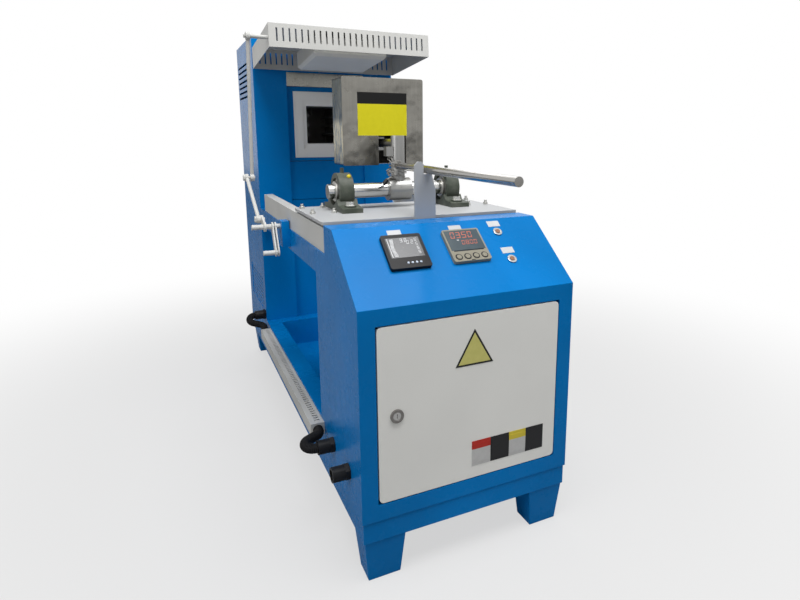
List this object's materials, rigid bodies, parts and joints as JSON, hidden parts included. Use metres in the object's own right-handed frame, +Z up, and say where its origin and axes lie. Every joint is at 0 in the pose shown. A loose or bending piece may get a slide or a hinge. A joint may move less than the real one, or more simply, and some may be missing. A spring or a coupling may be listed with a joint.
{
  "type": "thermal shock test furnace",
  "caption": "Floor-standing furnace with a sliding carriage, tilting sample box, lifting door flap and sloped control console.",
  "frame": {"origin": "centre of the bounding box on the floor", "axes": "+Z up, +Y from the console to the furnace cabinet, +X to the right of someone at the console"},
  "size_m": [0.633, 1.76, 1.31],
  "materials": {
    "blue_paint": "satin",
    "white_paint": "satin",
    "grey_paint": "satin",
    "green_cast": "painted",
    "steel": "brushed",
    "bright_steel": "polished",
    "dark_steel": "dull",
    "wool": "matt",
    "ceramic": "matt",
    "black_rubber": "matt",
    "black_plastic": "matt",
    "beige_plastic": "semi-gloss",
    "screen": "glossy",
    "key_plastic": "semi-gloss",
    "button_plastic": "gloss",
    "labels": "satin",
    "grey_plastic": "matt",
    "zinc": "zinc plated"
  },
  "bodies": {
    "frame": {"base_frame": "blue_paint", "side_frames": "blue_paint", "console_housing": "blue_paint", "console_sides": "blue_paint", "console_front": "blue_paint", "controller_housing": "beige_plastic", "meter_housing": "black_plastic", "instrument_screens": "screen", "button_bodies": "bright_steel", "panel_labels": "labels", "mounting_panel": "zinc", "control_gear": "grey_plastic", "carriage_rails": "blue_paint", "furnace_cabinet": "blue_paint", "vent_meshes": "blue_paint", "front_panels": "blue_paint", "steel_band": "steel", "mouth_frame": "ceramic", "chamber_lining": "ceramic", "chamber_fittings": "dark_steel", "power_unit": "dark_steel", "flap_hinges": "steel", "cable_trunking": "grey_plastic", "conduits": "black_plastic", "cable_glands": "black_plastic"},
    "door": {"console_door": "grey_paint", "door_seal": "black_rubber", "lock_housing": "dark_steel", "door_labels": "labels"},
    "lock": {"lock_core": "bright_steel"},
    "carriage": {"carriage_deck": "white_paint", "bearing_blocks": "green_cast", "bearing_inserts": "steel", "carriage_bolts": "zinc", "roller_brackets": "steel"},
    "holder": {"tilt_shaft": "bright_steel", "tilting_arm": "steel", "handle_rod": "bright_steel", "steel_box": "steel", "box_insulation": "wool", "caution_plate": "labels", "sample_holder": "ceramic"},
    "flap": {"furnace_flap": "white_paint", "flap_plug": "ceramic"},
    "link": {"link_rod": "steel"},
    "lever": {"lever_arm": "steel"},
    "wheel_left_front": {"roller_left_front": "black_plastic"},
    "wheel_left_rear": {"roller_left_rear": "black_plastic"},
    "wheel_right_front": {"roller_right_front": "black_plastic"},
    "wheel_right_rear": {"roller_right_rear": "black_plastic"},
    "controller_button_1": {"controller_key_1": "key_plastic"},
    "controller_button_2": {"controller_key_2": "key_plastic"},
    "controller_button_3": {"controller_key_3": "key_plastic"},
    "controller_button_4": {"controller_key_4": "key_plastic"},
    "meter_button_1": {"meter_key_1": "key_plastic"},
    "meter_button_2": {"meter_key_2": "key_plastic"},
    "meter_button_3": {"meter_key_3": "key_plastic"},
    "meter_button_4": {"meter_key_4": "key_plastic"},
    "upper_button": {"push_button_upper": "button_plastic"},
    "lower_button": {"push_button_lower": "button_plastic"}
  },
  "joints": [
    {"name": "carriage_slide", "type": "slide", "parent": "frame", "child": "carriage", "axis": [0, -1, 0], "range_m": [-0.5425, 0]},
    {"name": "holder_tilt", "type": "hinge", "parent": "carriage", "child": "holder", "pos_m": [0.0515, -0.263, 0.815], "axis": [-1, 0, 0], "range_deg": [0, 90]},
    {"name": "door_flap", "type": "hinge", "parent": "frame", "child": "flap", "pos_m": [0.0515, 0.45, 1.2], "axis": [1, 0, 0], "range_deg": [0, 95.2]},
    {"name": "link_pivot", "type": "hinge", "parent": "flap", "child": "link", "pos_m": [-0.2725, 0.113, 1.254], "axis": [1, 0, 0], "range_deg": [-145.68, 0]},
    {"name": "lever_pivot", "type": "hinge", "parent": "frame", "child": "lever", "pos_m": [-0.2885, -0.06, 0.7], "axis": [1, 0, 0], "range_deg": [-67.95, 0]},
    {"name": "console_door_hinge", "type": "hinge", "parent": "frame", "child": "door", "pos_m": [0.2685, -0.714, 0.386], "axis": [0, 0, 1], "range_deg": [0, 110]},
    {"name": "lock_turn", "type": "hinge", "parent": "door", "child": "lock", "pos_m": [-0.1325, -0.723, 0.384], "axis": [0, -1, 0], "range_deg": [0, 90]},
    {"name": "wheel_left_front_spin", "type": "hinge", "parent": "carriage", "child": "wheel_left_front", "pos_m": [-0.1945, -0.423, 0.7193], "axis": [1, 0, 0], "range_deg": [-1300, 5]},
    {"name": "wheel_left_rear_spin", "type": "hinge", "parent": "carriage", "child": "wheel_left_rear", "pos_m": [-0.1945, -0.215, 0.7193], "axis": [1, 0, 0], "range_deg": [-1300, 5]},
    {"name": "wheel_right_front_spin", "type": "hinge", "parent": "carriage", "child": "wheel_right_front", "pos_m": [0.2975, -0.423, 0.7193], "axis": [1, 0, 0], "range_deg": [-1300, 5]},
    {"name": "wheel_right_rear_spin", "type": "hinge", "parent": "carriage", "child": "wheel_right_rear", "pos_m": [0.2975, -0.215, 0.7193], "axis": [1, 0, 0], "range_deg": [-1300, 5]},
    {"name": "controller_press_1", "type": "slide", "parent": "frame", "child": "controller_button_1", "axis": [0, 0.6258, -0.78], "range_m": [0, 0.0008], "stiffness_N_per_m": 400, "springref_m": -0.001},
    {"name": "controller_press_2", "type": "slide", "parent": "frame", "child": "controller_button_2", "axis": [0, 0.6258, -0.78], "range_m": [0, 0.0008], "stiffness_N_per_m": 400, "springref_m": -0.001},
    {"name": "controller_press_3", "type": "slide", "parent": "frame", "child": "controller_button_3", "axis": [0, 0.6258, -0.78], "range_m": [0, 0.0008], "stiffness_N_per_m": 400, "springref_m": -0.001},
    {"name": "controller_press_4", "type": "slide", "parent": "frame", "child": "controller_button_4", "axis": [0, 0.6258, -0.78], "range_m": [0, 0.0008], "stiffness_N_per_m": 400, "springref_m": -0.001},
    {"name": "meter_press_1", "type": "slide", "parent": "frame", "child": "meter_button_1", "axis": [0, 0.6258, -0.78], "range_m": [0, 0.0008], "stiffness_N_per_m": 400, "springref_m": -0.001},
    {"name": "meter_press_2", "type": "slide", "parent": "frame", "child": "meter_button_2", "axis": [0, 0.6258, -0.78], "range_m": [0, 0.0008], "stiffness_N_per_m": 400, "springref_m": -0.001},
    {"name": "meter_press_3", "type": "slide", "parent": "frame", "child": "meter_button_3", "axis": [0, 0.6258, -0.78], "range_m": [0, 0.0008], "stiffness_N_per_m": 400, "springref_m": -0.001},
    {"name": "meter_press_4", "type": "slide", "parent": "frame", "child": "meter_button_4", "axis": [0, 0.6258, -0.78], "range_m": [0, 0.0008], "stiffness_N_per_m": 400, "springref_m": -0.001},
    {"name": "upper_button_press", "type": "slide", "parent": "frame", "child": "upper_button", "axis": [0, 0.6258, -0.78], "range_m": [0, 0.003], "stiffness_N_per_m": 500, "springref_m": -0.001},
    {"name": "lower_button_press", "type": "slide", "parent": "frame", "child": "lower_button", "axis": [0, 0.6258, -0.78], "range_m": [0, 0.003], "stiffness_N_per_m": 500, "springref_m": -0.001}
  ],
  "couplings": [
    {"joint": "link_pivot", "follows": "door_flap", "ratio": -1.5145},
    {"joint": "lever_pivot", "follows": "door_flap", "ratio": -0.69802},
    {"joint": "wheel_left_front_spin", "follows": "carriage_slide", "rad_per_m": 41.667},
    {"joint": "wheel_left_rear_spin", "follows": "carriage_slide", "rad_per_m": 41.667},
    {"joint": "wheel_right_front_spin", "follows": "carriage_slide", "rad_per_m": 41.667},
    {"joint": "wheel_right_rear_spin", "follows": "carriage_slide", "rad_per_m": 41.667}
  ]
}
